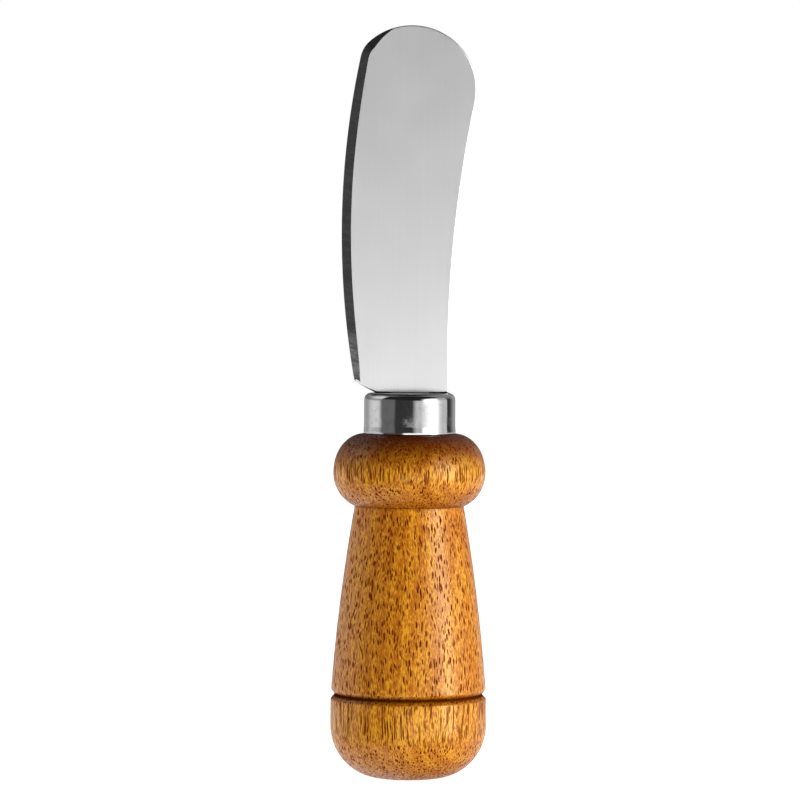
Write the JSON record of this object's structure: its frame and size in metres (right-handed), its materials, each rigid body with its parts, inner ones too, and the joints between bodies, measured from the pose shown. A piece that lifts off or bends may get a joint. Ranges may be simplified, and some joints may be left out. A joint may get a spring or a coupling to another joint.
{
  "type": "butter knife",
  "caption": "Small butter spreader: flat stainless blade with a round tip and a bevelled convex edge, slotted metal ferrule, and a turned hardwood handle with bead, groove and flat butt.",
  "frame": {"origin": "centre of the flat on the handle's butt, on which the knife stands", "axes": "+Z along the handle's axis towards the blade's tip; the blade's plane is X and Z, with its bevelled convex edge towards -X and its back towards +X; the front face seen in the picture looks to -Y"},
  "size_m": [0.0276, 0.0276, 0.133],
  "materials": {
    "blade_steel": "fine satin brushed along the blade, polished bevel",
    "ferrule_metal": "bright polished",
    "handle_wood": "turned open-pored hardwood, clear gloss lacquer",
    "adhesive": "cured epoxy"
  },
  "bodies": {
    "root": {"blade": "blade_steel", "ferrule": "ferrule_metal", "handle": "handle_wood", "tang_adhesive": "adhesive"}
  },
  "joints": []
}
